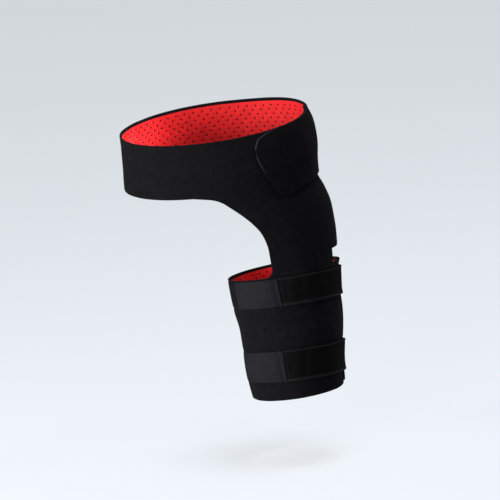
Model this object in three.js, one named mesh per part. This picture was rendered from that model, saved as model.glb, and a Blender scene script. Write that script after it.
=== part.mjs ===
// A hip compression brace in the form it has when worn: a waist belt, a hip panel and a thigh wrap
// of padded stretch cloth with a perforated lining, and two thigh straps with grip tabs.
// Millimetres and degrees. +X is the braced side, -Y the wearer's front, +Z up. The origin is the
// middle of the waist belt. Angles turn anticlockwise seen from above: 0 is the braced side, -90
// the front, -180 the other side, -270 the back, and a sheet that laps over itself goes on past it.
import * as THREE from "three";

// Waist belt
const waist_width = 355;
const waist_depth = 238;
const belt_height = 100;
const belt_lap_height = 116;
const belt_rise = 4.7; // towards the braced side
const belt_tip = 7.4; // front down
const belt_flare = 3; // on the free side
const belt_start = 10;
const belt_lap_start = -285;
const belt_lap_full = -345;
const flap_tip = -427.2;
const flap_nose = 57;
const rim_rise = 4; // where the flap comes round the braced side

// Hip panel
const hip_height = 181.5;
const slit_height = 25;
const slit_end = -23;
const hip_back_foot = 8;
const hip_corner = 12;

// Thigh wrap
const thigh_top_width = 205;
const thigh_bottom_width = 170;
const thigh_top_depth = 190;
const thigh_bottom_depth = 160;
const thigh_height = 226.5;
const thigh_top_forward = 3;
const thigh_bottom_forward = 20;
const thigh_top_rise = 7.4;
const thigh_bottom_rise = 5.7;
const thigh_tip = -4.5;
const foot_tip = -1.9;
const wrap_start = 38;
const wrap_lap_start = -252;
const wrap_lap_full = -316;
const wrap_edge = -351;
const wrap_corner = 9;
const curl_rise = 3;
const curl_turn = 24;

// Layers
const shell_thickness = 2.5;
const lining_thickness = 1.2;
const bond_gap = 0.3;
const lap_gap = 0.4;
const strap_gap = 0.6;
const strap_clearance = 3;
const seam_gap = 0.3;
const bare_edge = 3.5;

// Straps
const strap_thickness = 2;
const tab_thickness = 1.8;
const tab_corner = 6;
const tab_inset = 0.5;
const hem_overlap = 12;
const hem_slant = 4;
const strap_droop = 4.5;
const strap_root = 36;
const upper_strap = { name: "upper", width: 52, down_share: 0.15, hem_angle: -98, tab_length: 90 };
const lower_strap = { name: "lower", width: 57, down_share: 0.75, hem_angle: -103.5, tab_length: 99 };

// Fineness of the faces
const column_step = 6;
const belt_row_shares = [0.14, 0.33, 0.6, 0.9];
const panel_front_columns = 9;
const panel_back_columns = 5;
const wrap_row_shares = [0.28, 0.4, 0.56, 0.78];
const strap_rows = 1;

// How far the braced side stands out on the way down, as a share of half the waist width
const outer_side = [
  { stretch: "belt", share: 0, reach: 0.913 },
  { stretch: "belt", share: 0.2, reach: 0.963 },
  { stretch: "belt", share: 0.44, reach: 0.989 },
  { stretch: "belt", share: 0.65, reach: 1 },
  { stretch: "belt", share: 0.9, reach: 0.992 },
  { stretch: "hip", share: 0.13, reach: 1.003 },
  { stretch: "hip", share: 0.25, reach: 1.062 },
  { stretch: "hip", share: 0.39, reach: 1.114 },
  { stretch: "hip", share: 0.54, reach: 1.143 },
  { stretch: "hip", share: 0.75, reach: 1.16 },
  { stretch: "thigh", share: 0, reach: 1.152 },
  { stretch: "thigh", share: 0.26, reach: 1.15 },
  { stretch: "thigh", share: 0.4, reach: 1.162 },
  { stretch: "thigh", share: 0.55, reach: 1.155 },
  { stretch: "thigh", share: 0.78, reach: 1.135 },
  { stretch: "thigh", share: 1, reach: 1.142 },
];

// The hip panel's front edge round the groin, by share of the hip height
const groin_edge = [
  { share: 0, front: -107 },
  { share: 0.03, front: -97.5 },
  { share: 0.065, front: -93 },
  { share: 0.13, front: -90 },
  { share: 0.235, front: -87.7 },
  { share: 0.36, front: -86 },
  { share: 0.5, front: -85.5 },
  { share: 0.66, front: -87.8 },
  { share: 0.76, front: -90.8 },
  { share: 0.86, front: -94.3 },
  { share: 0.93, front: -97 },
  { share: 0.97, front: -100 },
  { share: 1, front: -105.5 },
];

// The outline of the belt's free end, by share of the flap's nose from its tip: its top as a share
// of the belt's height, and its bottom as a share of the height where it laps
const flap_outline = [
  { share: 0, top: 0.26, bottom: 0.345 },
  { share: 0.0175, top: 0.2, bottom: 0.448 },
  { share: 0.035, top: 0.155, bottom: 0.513 },
  { share: 0.077, top: 0.09, bottom: 0.655 },
  { share: 0.123, top: 0.065, bottom: 0.75 },
  { share: 0.158, top: 0.045, bottom: 0.845 },
  { share: 0.193, top: 0.03, bottom: 0.957 },
  { share: 0.253, top: 0.015, bottom: 1.034 },
  { share: 0.354, top: 0, bottom: 1.073 },
  { share: 0.544, top: 0, bottom: 1.043 },
  { share: 1, top: 0, bottom: 1 },
];

// Worked-out sizes
const rim_level = belt_height / 2;
const thigh_drop = belt_height + hip_height;
const sheet_thickness = shell_thickness + bond_gap + lining_thickness;
const lap_lift = sheet_thickness + lap_gap;
const lining_top = -shell_thickness - bond_gap;
const slit_drop = thigh_drop - slit_height;

const tangent = (degrees) => Math.tan(THREE.MathUtils.degToRad(degrees));
const mix = THREE.MathUtils.lerp;
const ease = THREE.MathUtils.smoothstep;

// A smooth curve through a table's rows, [place, value] each, read at one place
function read(rows, at) {
  const last = rows.length - 1;
  const later = rows.findIndex((row) => row[0] > at);
  const right = later < 0 ? last : Math.max(1, later);
  const left = right - 1;
  const slope = (i) => {
    const before = rows[Math.max(0, i - 1)];
    const after = rows[Math.min(last, i + 1)];
    return (after[1] - before[1]) / (after[0] - before[0]);
  };
  const span = rows[right][0] - rows[left][0];
  const t = THREE.MathUtils.clamp((at - rows[left][0]) / span, 0, 1);
  const leave = (t ** 3 - 2 * t ** 2 + t) * span * slope(left);
  const arrive = (t ** 3 - t ** 2) * span * slope(right);
  return mix(rows[left][1], rows[right][1], 3 * t ** 2 - 2 * t ** 3) + leave + arrive;
}

// How far down from the belt's rim a share of one stretch of the body lies
function drop_of(stretch, share) {
  if (stretch === "belt") return share * belt_height;
  if (stretch === "hip") return belt_height + share * hip_height;
  return thigh_drop + share * thigh_height;
}

const outer_rows = outer_side.map((row) => [drop_of(row.stretch, row.share), (row.reach * waist_width) / 2]);
const front_rows = groin_edge.map((row) => [row.share, row.front]);
const flap_top_rows = flap_outline.map((row) => [row.share * flap_nose, row.top]);
const flap_bottom_rows = flap_outline.map((row) => [row.share * flap_nose, row.bottom]);

// The body's cross-section at one drop, an ellipse in a tilted plane
function section(drop) {
  const to_thigh = THREE.MathUtils.clamp((drop - belt_height) / hip_height, 0, 1);
  const down_thigh = Math.max(0, (drop - thigh_drop) / thigh_height);
  const outer = read(outer_rows, drop);
  const flare = belt_flare * Math.max(0, 1 - drop / belt_height) ** 2;
  const waist_inner = -waist_width / 2 - flare;
  const hip_inner = mix(waist_inner, read(outer_rows, thigh_drop) - thigh_top_width, to_thigh);
  const thigh_inner = outer - mix(thigh_top_width, thigh_bottom_width, down_thigh);
  const inner = drop < thigh_drop ? hip_inner : thigh_inner;
  const upper_depth = mix(waist_depth, thigh_top_depth, to_thigh);
  const eased = ease(to_thigh, 0, 1);
  return {
    middle_x: (inner + outer) / 2,
    middle_y: mix(-thigh_top_forward * to_thigh, -thigh_bottom_forward, down_thigh),
    half_x: (outer - inner) / 2,
    half_y: mix(upper_depth, thigh_bottom_depth, down_thigh) / 2,
    rise_x: tangent(mix(mix(belt_rise, thigh_top_rise, eased), thigh_bottom_rise, down_thigh)),
    rise_y: tangent(mix(mix(belt_tip, thigh_tip, eased), foot_tip, down_thigh ** 3)),
  };
}

function on_body(angle, drop) {
  const s = section(drop);
  const turn = THREE.MathUtils.degToRad(angle);
  const across = s.half_x * Math.cos(turn);
  const back = s.half_y * Math.sin(turn);
  const level = rim_level - drop + s.rise_x * across + s.rise_y * back;
  return new THREE.Vector3(s.middle_x + across, s.middle_y + back, level);
}

// A point raised off the body, square to it. Where a sheet's edge is free, the slope is taken inside
// the belt, hip or thigh that the sheet is on
function off_body(angle, drop, lift) {
  const reach = 2;
  let upper = drop - reach;
  let lower = drop + reach;
  if (angle < groin_edge[0].front && drop <= belt_height) lower = Math.min(lower, belt_height);
  if (drop >= thigh_drop) upper = Math.max(upper, thigh_drop);
  if (Math.abs(drop - thigh_drop) < seam_gap) upper = drop - seam_gap;
  const down = on_body(angle, lower).sub(on_body(angle, upper));
  const round = on_body(angle + 1, drop).sub(on_body(angle - 1, drop));
  return on_body(angle, drop).addScaledVector(down.cross(round).normalize(), lift);
}

// How far one millimetre along the body is in degrees, at one place
function degrees_per_mm(angle, drop) {
  return 2 / on_body(angle + 1, drop).distanceTo(on_body(angle - 1, drop));
}

// The angles of a sheet's columns: its ends, a bare edge inside each, every step between, and some more
function columns(from, to, drop, extra = []) {
  const first = from + bare_edge * degrees_per_mm(from, drop);
  const last = to - bare_edge * degrees_per_mm(to, drop);
  const found = [from, first, last, to, ...extra.filter((a) => a > first + 0.3 && a < last - 0.3)];
  for (let a = Math.ceil(first / column_step) * column_step; a < last; a += column_step) {
    if (found.every((other) => Math.abs(other - a) > column_step / 6)) found.push(a);
  }
  return found.sort((x, y) => x - y);
}

// How far a rounded corner cuts into an edge, at a distance from the sheet's end
function corner_cut(distance, radius) {
  const left = THREE.MathUtils.clamp(radius - distance, 0, radius);
  return radius - Math.sqrt(radius ** 2 - left ** 2);
}

// Rows of [angle, drop] points: both edges, a bare edge inside each, and the drops between
function rows_of(angles, top, bottom, between) {
  const inner = (angle, drop) => {
    return THREE.MathUtils.clamp(drop, top(angle) + bare_edge, bottom(angle) - bare_edge);
  };
  return [
    angles.map((angle) => [angle, top(angle)]),
    angles.map((angle) => [angle, top(angle) + bare_edge]),
    ...between.map((drop) => angles.map((angle) => [angle, inner(angle, drop)])),
    angles.map((angle) => [angle, bottom(angle) - bare_edge]),
    angles.map((angle) => [angle, bottom(angle)]),
  ];
}

// Even steps between two drops, without the ends
function steps(from, to, count) {
  return [...Array(count).keys()].map((i) => mix(from, to, (i + 1) / (count + 1)));
}

// A closed solid over the kept cells of a grid of [angle, drop] points. It runs from inside to
// outside of lift(angle, drop), and walls its free edges
function sheet(grid, kept, lift, inside, outside) {
  const keys = new Map();
  const positions = [];
  const triangles = [];
  const directed = new Set();
  const index_of = ([angle, drop]) => {
    const key = `${angle.toFixed(4)} ${drop.toFixed(4)}`;
    if (!keys.has(key)) {
      keys.set(key, keys.size);
      const raised = lift(angle, drop);
      positions.push(...off_body(angle, drop, raised + outside).toArray());
      positions.push(...off_body(angle, drop, raised + inside).toArray());
    }
    return keys.get(key);
  };
  const face = (a, b, c) => {
    if (a === b || b === c || c === a) return;
    triangles.push(2 * a, 2 * b, 2 * c, 2 * a + 1, 2 * c + 1, 2 * b + 1);
    directed.add(`${a} ${b}`);
    directed.add(`${b} ${c}`);
    directed.add(`${c} ${a}`);
  };
  for (let i = 0; i + 1 < grid.length; i++) {
    for (let j = 0; j + 1 < grid[i].length; j++) {
      if (!kept(i, j)) continue;
      const [high_left, high_right] = [index_of(grid[i][j]), index_of(grid[i][j + 1])];
      const [low_left, low_right] = [index_of(grid[i + 1][j]), index_of(grid[i + 1][j + 1])];
      face(low_left, low_right, high_right);
      face(low_left, high_right, high_left);
    }
  }
  for (const edge of directed) {
    const [from, to] = edge.split(" ").map(Number);
    if (directed.has(`${to} ${from}`)) continue;
    triangles.push(2 * to, 2 * from, 2 * from + 1, 2 * to, 2 * from + 1, 2 * to + 1);
  }
  const geometry = new THREE.BufferGeometry();
  geometry.setAttribute("position", new THREE.Float32BufferAttribute(positions, 3));
  geometry.setIndex(triangles);
  geometry.computeVertexNormals();
  return geometry;
}

const whole = () => true;

// The cells of a grid that have kept cells all round, so that a lining leaves its panel's edges bare
function inner_cells(grid, kept) {
  const there = (i, j) => i >= 0 && j >= 0 && i < grid.length - 1 && j < grid[0].length - 1 && kept(i, j);
  return (i, j) => [-1, 0, 1].every((down) => [-1, 0, 1].every((on) => there(i + down, j + on)));
}

// The belt laps over its own start and over the hip panel, in a flap with a rounded nose
function belt_lift(angle) {
  return lap_lift * ease(-angle, -belt_lap_start, -belt_lap_full);
}

function belt_grid() {
  const joined_from = groin_edge[0].front;
  const top = (angle) => {
    const risen = rim_rise * ease(angle, -385, -345) * (1 - ease(angle, -330, -285));
    return belt_height * read(flap_top_rows, angle - flap_tip) - risen;
  };
  const bottom = (angle) => {
    if (angle > joined_from) return belt_height - seam_gap / 2;
    const full = mix(belt_height - seam_gap / 2, belt_lap_height, ease(-angle, 180, 330));
    return full * read(flap_bottom_rows, angle - flap_tip);
  };
  const nose = flap_outline.slice(1, -1).map((row) => flap_tip + row.share * flap_nose);
  const angles = columns(flap_tip, belt_start, rim_level, nose);
  return rows_of(angles, top, bottom, belt_row_shares.map((share) => share * belt_height));
}

// The hip panel hangs from the belt; a slit parts its back corner from the thigh wrap
function panel_grid() {
  const top = belt_height + seam_gap / 2;
  const foot = thigh_drop - seam_gap / 2;
  const table_drops = groin_edge.slice(1, -1).map((row) => drop_of("hip", row.share));
  const slit_rows = [slit_drop - bare_edge, slit_drop];
  const clear_of_slit = (drop) => slit_rows.every((row) => Math.abs(drop - row) > 2 * bare_edge);
  const clear = table_drops.filter(clear_of_slit);
  const drops = [top, top + bare_edge, ...clear.filter((drop) => drop > top + 2 * bare_edge),
    ...slit_rows, foot - bare_edge, foot].sort((x, y) => x - y);
  const across = (drop) => {
    const share = (drop - belt_height) / hip_height;
    const edge = bare_edge * degrees_per_mm(-90, drop);
    const front = read(front_rows, share);
    const back = mix(belt_start, hip_back_foot, share);
    return [
      front,
      front + edge,
      ...steps(front + edge, slit_end - edge, panel_front_columns),
      slit_end - edge,
      slit_end,
      ...steps(slit_end, back - edge, panel_back_columns),
      back - edge,
      back,
    ];
  };
  const rounded = (drop, angle) => {
    const out = Math.max(0, ease(angle, slit_end / 2, hip_back_foot));
    return drop - hip_corner * out ** 3 * ease(drop, slit_drop - 3 * hip_corner, slit_drop);
  };
  const place = (drop, angle) => [angle, drop <= slit_drop ? rounded(drop, angle) : drop];
  const grid = drops.map((drop) => across(drop).map((angle) => place(drop, angle)));
  const slit_row = drops.indexOf(slit_drop);
  const slit_column = panel_front_columns + 3;
  return { grid, kept: (i, j) => i < slit_row || j < slit_column };
}

// The lowest drop on the thigh wrap that is clear above the straps
function clear_of_straps() {
  return strap_line(upper_strap, wrap_edge) - upper_strap.width / 2 - strap_clearance;
}

// The thigh wrap goes once round and laps over its own start; its upper free corner curls outwards
function wrap_lift(angle, drop) {
  const lapped = lap_lift * ease(-angle, -wrap_lap_start, -wrap_lap_full);
  const near_edge = ease(-angle, -wrap_edge - curl_turn, -wrap_edge);
  const near_rim = 1 - ease(drop, thigh_drop, clear_of_straps());
  return lapped + curl_rise * near_edge * near_rim;
}

function wrap_grid() {
  const middle = thigh_drop + thigh_height / 2;
  const per_mm = degrees_per_mm(wrap_edge, middle);
  const joined = (angle) => angle > groin_edge.at(-1).front && angle < slit_end;
  const cut = (angle) => {
    const from_edge = corner_cut((angle - wrap_edge) / per_mm, wrap_corner);
    return from_edge + corner_cut((wrap_start - angle) / per_mm, wrap_corner);
  };
  const top = (angle) => thigh_drop + (joined(angle) ? seam_gap / 2 : cut(angle));
  const bottom = (angle) => thigh_drop + thigh_height - cut(angle);
  const near = [0.15, 0.7, 1.1].map((share) => share * wrap_corner * per_mm);
  const extra = near.flatMap((turn) => [wrap_edge + turn, wrap_start - turn]);
  const between = [clear_of_straps(), ...wrap_row_shares.map((share) => drop_of("thigh", share))];
  return rows_of(columns(wrap_edge, wrap_start, middle, extra), top, bottom, between);
}

// A strap runs round the thigh a little lower at the braced side and the back than at the front
function strap_line(strap, angle) {
  const turn = THREE.MathUtils.degToRad(angle);
  const middle = drop_of("thigh", strap.down_share);
  return middle + strap_droop * (Math.cos(turn) + Math.sin(turn));
}

// What a strap lies on: the wrap's own surface, or its lapped end on the braced side
function under_strap(angle) {
  const edge = wrap_edge + 360;
  return strap_gap + lap_lift * ease(angle, edge - 4 * column_step, edge - 2);
}

function tab_grid(strap) {
  const middle = drop_of("thigh", strap.down_share);
  const per_mm = degrees_per_mm(strap.hem_angle - 20, middle);
  const from = strap.hem_angle - strap.tab_length * per_mm;
  const to = strap.hem_angle + (hem_overlap + hem_slant) * per_mm;
  const half = strap.width / 2 - tab_inset;
  const cut = (angle) => corner_cut((angle - from) / per_mm, tab_corner);
  const top = (angle) => strap_line(strap, angle) - half + cut(angle);
  const bottom = (angle) => strap_line(strap, angle) + half - cut(angle);
  const near = [0.15, 0.7, 1.1].map((share) => from + share * tab_corner * per_mm);
  const angles = columns(from, to, middle, near);
  const across = [0, ...steps(0, 1, strap_rows), 1];
  return across.map((share) => angles.map((angle) => [angle, mix(top(angle), bottom(angle), share)]));
}

// The strap's sewn end lies on the wrap's free edge, and its slanted hem on the tab
function strap_grid(strap) {
  const middle = drop_of("thigh", strap.down_share);
  const per_mm = degrees_per_mm(strap.hem_angle, middle);
  const angles = columns(strap.hem_angle, strap_root, middle);
  const across = [0, ...steps(0, 1, strap_rows), 1];
  return across.map((share) => angles.map((angle, j) => {
    const slant = j < 2 ? hem_slant * per_mm * (share - 0.5) : 0;
    return [angle + slant, strap_line(strap, angle) + strap.width * (share - 0.5)];
  }));
}

function over_tab(strap, angle) {
  const middle = drop_of("thigh", strap.down_share);
  const per_mm = degrees_per_mm(strap.hem_angle - 20, middle);
  const end = strap.hem_angle + (hem_overlap + hem_slant) * per_mm;
  return (tab_thickness + bond_gap) * (1 - ease(angle, end + column_step, end + 3 * column_step));
}

const loop_cloth = new THREE.MeshStandardMaterial({ color: 0x201f24, roughness: 0.95, metalness: 0 });
const red_lining = new THREE.MeshStandardMaterial({ color: 0xc8222a, roughness: 0.7, metalness: 0 });
const elastic = new THREE.MeshStandardMaterial({ color: 0x151517, roughness: 0.9, metalness: 0 });
const grip_tab = new THREE.MeshStandardMaterial({ color: 0x35333a, roughness: 0.6, metalness: 0 });

const brace = new THREE.Group();

function add(name, geometry, material) {
  const mesh = new THREE.Mesh(geometry, material);
  mesh.name = name;
  brace.add(mesh);
}

const flat = () => 0;
const panels = [
  { name: "waist", shell: "waist_belt", grid: belt_grid(), kept: whole, lift: belt_lift },
  { name: "hip", shell: "hip_panel", ...panel_grid(), lift: flat },
  { name: "thigh", shell: "thigh_wrap", grid: wrap_grid(), kept: whole, lift: wrap_lift },
];
for (const { name, shell, grid, kept, lift } of panels) {
  add(shell, sheet(grid, kept, lift, -shell_thickness, 0), loop_cloth);
  const backed = inner_cells(grid, kept);
  add(`${name}_lining`, sheet(grid, backed, lift, lining_top - lining_thickness, lining_top), red_lining);
}

for (const strap of [upper_strap, lower_strap]) {
  const raised = (angle) => under_strap(angle) + over_tab(strap, angle);
  add(`${strap.name}_strap`, sheet(strap_grid(strap), whole, raised, 0, strap_thickness), elastic);
  add(`${strap.name}_strap_tab`, sheet(tab_grid(strap), whole, under_strap, 0, tab_thickness), grip_tab);
}

export default brace;
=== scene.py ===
import math

import bpy
import numpy as np
from mathutils import Matrix, Vector


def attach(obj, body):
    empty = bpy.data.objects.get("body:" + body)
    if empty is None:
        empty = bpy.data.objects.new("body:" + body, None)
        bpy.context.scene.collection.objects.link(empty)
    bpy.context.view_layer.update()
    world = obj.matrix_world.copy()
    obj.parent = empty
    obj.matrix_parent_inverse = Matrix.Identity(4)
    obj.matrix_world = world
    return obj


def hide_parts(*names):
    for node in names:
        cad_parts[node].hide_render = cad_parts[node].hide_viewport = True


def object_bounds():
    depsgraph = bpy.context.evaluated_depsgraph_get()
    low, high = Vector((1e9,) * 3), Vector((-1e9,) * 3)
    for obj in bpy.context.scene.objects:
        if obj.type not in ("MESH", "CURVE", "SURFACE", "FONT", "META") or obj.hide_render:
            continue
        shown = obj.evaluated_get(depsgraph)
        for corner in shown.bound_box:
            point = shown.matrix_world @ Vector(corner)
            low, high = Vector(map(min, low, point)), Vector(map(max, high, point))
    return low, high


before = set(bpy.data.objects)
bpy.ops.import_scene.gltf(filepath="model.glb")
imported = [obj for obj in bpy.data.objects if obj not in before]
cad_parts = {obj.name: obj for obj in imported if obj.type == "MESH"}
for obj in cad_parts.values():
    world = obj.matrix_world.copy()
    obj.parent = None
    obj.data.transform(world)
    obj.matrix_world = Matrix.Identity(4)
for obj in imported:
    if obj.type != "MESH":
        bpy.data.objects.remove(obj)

cad_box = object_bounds()
scene = bpy.context.scene
scene.view_settings.view_transform = "Standard"

# The camera: far off in front and a little above, so that the brace shows almost without
# perspective. It is turned about its own axis, so that the brace leans to the left.
view_height = 12
view_turn = -3.6
view_distance = 8.0
view_width = 0.92
view_centre = Vector((0.045, 0.0, -0.193))

lens_data = bpy.data.cameras.new("camera")
lens_data.lens = lens_data.sensor_width * view_distance / view_width
lens_data.clip_end = 60
camera = bpy.data.objects.new("camera", lens_data)
scene.collection.objects.link(camera)
camera.matrix_world = (
    Matrix.Translation(view_centre)
    @ Matrix.Rotation(math.radians(90 - view_height), 4, "X")
    @ Matrix.Rotation(math.radians(view_turn), 4, "Z")
    @ Matrix.Translation((0, 0, view_distance))
)
scene.camera = camera


def put(tree, socket, value):
    """Sets a socket to a value, or links another node's output to it."""
    if isinstance(value, bpy.types.NodeSocket):
        tree.links.new(value, socket)
    else:
        socket.default_value = value


def add_node(tree, kind, settings=(), inputs=()):
    """A node with its settings, and its inputs set to values or linked to other nodes' outputs."""
    made = tree.nodes.new(kind)
    for name, value in dict(settings).items():
        setattr(made, name, value)
    for name, value in dict(inputs).items():
        put(tree, made.inputs[name], value)
    return made


def new_material(name):
    """A material, its node tree and its shader."""
    made = bpy.data.materials.new(name)
    made.use_nodes = True
    return made, made.node_tree, made.node_tree.nodes["Principled BSDF"]


def set_shader(tree, shader, **values):
    """Sets a shader's sockets to values or links them."""
    for name, value in values.items():
        put(tree, shader.inputs[name.replace("_", " ")], value)


# The floor: a plain pale sheet well below the brace, which the wearer's hips hold up. It glows
# only as the camera sees it, so it stays pale and lights nothing.
floor_drop = 0.12
floor_level = cad_box[0].z - floor_drop
floor_reach = 14.0
floor_mesh = bpy.data.meshes.new("floor")
floor_mesh.from_pydata(
    [(x, y, floor_level) for x, y in ((-1, -1), (1, -1), (1, 1), (-1, 1))], [], [(0, 1, 2, 3)]
)
floor_mesh.transform(Matrix.Diagonal((floor_reach, floor_reach, 1, 1)))
floor = bpy.data.objects.new("floor", floor_mesh)
scene.collection.objects.link(floor)
floor_paint, tree, shader = new_material("floor paint")
set_shader(
    tree, shader,
    Base_Color=(0.34, 0.36, 0.38, 1),
    Roughness=0.9,
    Emission_Color=(0.58, 0.61, 0.64, 1),
    Emission_Strength=add_node(tree, "ShaderNodeLightPath").outputs["Is Camera Ray"],
)
floor_mesh.materials.append(floor_paint)

# The light: a strong soft lamp from the left, weak ones from the front and from the right behind,
# one from above that reaches into the belt, a narrow one on the lining inside it, and a pale
# surround. Each row has a place, a width, a power, the point it is aimed at and its spread.
for name, place, width, power, aim, spread in (
    ("left lamp", (-3.15, -1.85, 0.1), 1.1, 178, view_centre, 180),
    ("front lamp", (-1.2, -3.1, 0.7), 1.4, 27, view_centre, 180),
    ("top lamp", (0.7, -0.3, 3.1), 1.6, 58, view_centre, 180),
    ("right lamp", (2.6, 1.4, 0.3), 1.2, 9, view_centre, 180),
    ("narrow lamp", (1.1, -0.3, 1.4), 0.1, 0.2, (-0.15, 0.03, 0.0), 6),
):
    lamp = bpy.data.lights.new(name, "AREA")
    lamp.size = width
    lamp.energy = power
    lamp.spread = math.radians(spread)
    made = bpy.data.objects.new(name, lamp)
    made.location = place
    made.rotation_mode = "QUATERNION"
    made.rotation_quaternion = (Vector(aim) - Vector(place)).to_track_quat("-Z", "Y")
    scene.collection.objects.link(made)
surround = bpy.data.worlds.new("pale surround")
surround.use_nodes = True
sky = surround.node_tree
backdrop = sky.nodes["Background"]
backdrop.inputs["Color"].default_value = (0.84, 0.9, 0.96, 1)
glow = add_node(sky, "ShaderNodeBackground", (), {"Color": (0.9, 0.94, 1, 1), "Strength": 0.13})
seen = add_node(sky, "ShaderNodeLightPath").outputs["Is Camera Ray"]
either = add_node(sky, "ShaderNodeMixShader", (), {0: seen, 1: glow.outputs[0], 2: backdrop.outputs[0]})
sky.links.new(either.outputs[0], sky.nodes["World Output"].inputs["Surface"])
scene.world = surround

# Sizes in metres and degrees. Angles run anticlockwise seen from above, with 0 at the braced side
# and -90 at the front. A drop is measured down the body from the belt's rim. A rise or a tip is how
# far a level is tilted, sideways or from front to back.
waist_width = 0.355
waist_depth = 0.238
belt_height = 0.100
belt_flare = 0.003
belt_lap_height = 0.116
belt_rise = 4.7
belt_tip = 7.4
belt_start = 10
belt_lap = (-285, -345)
flap_tip = -427.2
flap_nose = 57
rim_rise = 0.004
rim_rise_turns = (-385, -345, -330, -285)
belt_widening = (180, 330)
hip_front = -107
hip_height = 0.1815
thigh_top_width = 0.205
thigh_bottom_width = 0.170
thigh_top_depth = 0.190
thigh_bottom_depth = 0.160
thigh_height = 0.2265
thigh_forward = (0.003, 0.020)
thigh_rise = (7.4, 5.7)
thigh_tip = -4.5
foot_tip = -1.9
rim_level = belt_height / 2
thigh_drop = belt_height + hip_height

# How far the braced side stands out at each drop, as a share of half the waist width
belt_reach = [(0, 0.913), (0.2, 0.963), (0.44, 0.989), (0.65, 1), (0.9, 0.992)]
hip_reach = [(0.13, 1.003), (0.25, 1.062), (0.39, 1.114), (0.54, 1.143), (0.75, 1.16)]
thigh_reach = [(0, 1.152), (0.26, 1.15), (0.4, 1.162), (0.55, 1.155), (0.78, 1.135), (1, 1.142)]
outer_rows = [
    (start + share * height, reach * waist_width / 2)
    for start, height, rows in (
        (0, belt_height, belt_reach), (belt_height, hip_height, hip_reach),
        (thigh_drop, thigh_height, thigh_reach),
    )
    for share, reach in rows
]

# The belt's free end, by share of the flap's nose from its tip: its top as a share of the belt's
# height, and its bottom as a share of the height where it laps
flap_outline = [
    (0, 0.26, 0.345), (0.0175, 0.2, 0.448), (0.035, 0.155, 0.513), (0.077, 0.09, 0.655),
    (0.123, 0.065, 0.75), (0.158, 0.045, 0.845), (0.193, 0.03, 0.957), (0.253, 0.015, 1.034),
    (0.354, 0, 1.073), (0.544, 0, 1.043), (1, 0, 1),
]

shell_thickness = 0.0025
sheet_thickness = 0.004
lap_lift = sheet_thickness + 0.0004
binding_width = 0.0054
binding_step = 0.0004
edge_radius = 0.0013
stitch_inset = 0.0062
groove_depth = 0.00025
groove_width = 0.0009
thread_sink = 0.3
cut_edge_width = 0.0009
slow_swell = 0.0007
quick_swell = 0.00025
seam_reach = 0.0003


def mix(one, other, share):
    return one + (other - one) * share


def ease(value, low, high):
    """A smooth step from 0 to 1 between two values."""
    share = np.clip((value - low) / (high - low), 0, 1)
    return share * share * (3 - 2 * share)


def bell(distance, width):
    """A bell's height, 1 in its middle."""
    return np.exp(-((distance / width) ** 2))


def round_off(distance, radius):
    """How far a rounded edge falls, at a distance from where the sheet ends."""
    fall = np.clip(radius - distance, 0, radius)
    return radius - np.sqrt(radius**2 - fall**2)


def read(rows, at):
    """A smooth curve through rows of (place, value), read at every place in at."""
    places, values = np.array(rows, float).T
    order = np.arange(len(places))
    before = np.maximum(order - 1, 0)
    after = np.minimum(order + 1, len(places) - 1)
    slopes = (values[after] - values[before]) / (places[after] - places[before])
    right = np.clip(np.searchsorted(places, at, side="right"), 1, len(places) - 1)
    left = right - 1
    span = places[right] - places[left]
    t = np.clip((at - places[left]) / span, 0, 1)
    leave = (t**3 - 2 * t**2 + t) * span * slopes[left]
    arrive = (t**3 - t**2) * span * slopes[right]
    return mix(values[left], values[right], 3 * t**2 - 2 * t**3) + leave + arrive


def on_body(angle, drop):
    """The point of the body at an angle and a drop: each level is an ellipse in a tilted plane."""
    to_thigh = np.clip((drop - belt_height) / hip_height, 0, 1)
    down_thigh = np.maximum(0, (drop - thigh_drop) / thigh_height)
    eased = ease(to_thigh, 0, 1)
    outer = read(outer_rows, drop)
    flare = belt_flare * np.maximum(0, 1 - drop / belt_height) ** 2
    waist_inner = -waist_width / 2 - flare
    hip_inner = mix(waist_inner, read(outer_rows, thigh_drop) - thigh_top_width, to_thigh)
    thigh_inner = outer - mix(thigh_top_width, thigh_bottom_width, down_thigh)
    inner = np.where(drop < thigh_drop, hip_inner, thigh_inner)
    upper_depth = mix(waist_depth, thigh_top_depth, to_thigh)
    middle_y = mix(-thigh_forward[0] * to_thigh, -thigh_forward[1], down_thigh)
    rise_x = np.radians(mix(mix(belt_rise, thigh_rise[0], eased), thigh_rise[1], down_thigh))
    rise_y = np.radians(mix(mix(belt_tip, thigh_tip, eased), foot_tip, down_thigh**3))
    across = (outer - inner) / 2 * np.cos(np.radians(angle))
    back = mix(upper_depth, thigh_bottom_depth, down_thigh) / 2 * np.sin(np.radians(angle))
    level = rim_level - drop + np.tan(rise_x) * across + np.tan(rise_y) * back
    return np.stack([(inner + outer) / 2 + across, middle_y + back, level], axis=-1)


def softness(angle, drop):
    """How far the soft cloth strays from the even form, in slow swells."""
    turn = np.radians(angle)
    slow = np.sin(4 * turn + 19 * drop) * np.sin(3 * turn - 31 * drop + 1.1)
    quick = np.sin(11 * turn + 57 * drop + 0.6) * np.sin(7 * turn - 83 * drop)
    return slow_swell * slow + quick_swell * quick


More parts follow.
